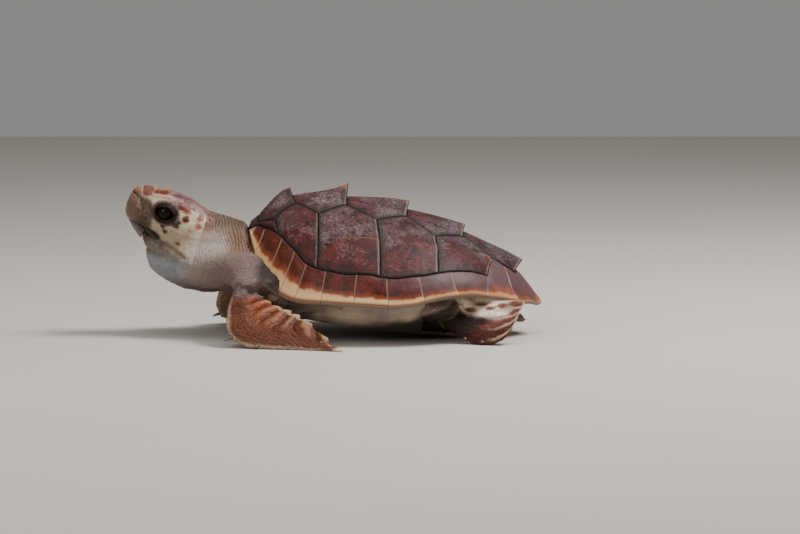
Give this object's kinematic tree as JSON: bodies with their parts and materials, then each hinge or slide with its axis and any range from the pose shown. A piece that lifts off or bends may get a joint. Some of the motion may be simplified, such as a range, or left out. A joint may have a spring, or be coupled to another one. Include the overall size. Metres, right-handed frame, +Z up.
{
  "type": "young loggerhead turtle",
  "caption": "Life-size still figure of a young sea turtle crawling, head raised, with a keeled plated shell, scaly flippers and a hooked beak.",
  "frame": {"origin": "centre of the bounding box's base, on the floor that the turtle rests on", "axes": "+X from the snout to the tail, +Y to the turtle's right side, +Z up"},
  "size_m": [0.3576, 0.2684, 0.1296],
  "materials": {
    "scute_dusty": "horny plate, worn and dusty on top",
    "scute": "horny plate, dark red-brown, damp",
    "margin": "horny plate, red-brown with a cream rim",
    "plastron": "horny plate, cream",
    "head_skin": "scaly skin, cream with red-brown scales",
    "skin": "soft folded skin, grey-mauve",
    "flipper_skin": "scaly skin, orange-brown with pale seams",
    "beak": "horny sheath, olive-tan",
    "claw": "horn, pale",
    "eye": "wet, near black"
  },
  "bodies": {
    "root": {"abdominal_left": "plastron", "abdominal_right": "plastron", "anal_left": "plastron", "anal_right": "plastron", "arm_left": "skin", "arm_right": "skin", "beak_lower": "beak", "beak_upper": "beak", "bridge_left": "plastron", "bridge_right": "plastron", "costal_left_1": "scute", "costal_left_2": "scute", "costal_left_3": "scute", "costal_left_4": "scute", "costal_left_5": "scute", "costal_right_1": "scute", "costal_right_2": "scute", "costal_right_3": "scute", "costal_right_4": "scute", "costal_right_5": "scute", "eye_left": "eye", "eye_right": "eye", "femoral_left": "plastron", "femoral_right": "plastron", "flipper_left": "flipper_skin", "flipper_right": "flipper_skin", "foot_left": "flipper_skin", "foot_right": "flipper_skin", "front_claw_left_1": "claw", "front_claw_left_2": "claw", "front_claw_right_1": "claw", "front_claw_right_2": "claw", "gular_left": "plastron", "gular_right": "plastron", "head": "head_skin", "hind_claw_left_1": "claw", "hind_claw_left_2": "claw", "hind_claw_right_1": "claw", "hind_claw_right_2": "claw", "humeral_left": "plastron", "humeral_right": "plastron", "marginals_left": "margin", "marginals_right": "margin", "neck": "skin", "nuchal": "scute", "pectoral_left": "plastron", "pectoral_right": "plastron", "supracaudal_left": "margin", "supracaudal_right": "margin", "tail": "skin", "thigh_left": "skin", "thigh_right": "skin", "trunk": "skin", "vertebral_1": "scute_dusty", "vertebral_2": "scute_dusty", "vertebral_3": "scute_dusty", "vertebral_4": "scute_dusty", "vertebral_5": "scute_dusty"}
  },
  "joints": []
}
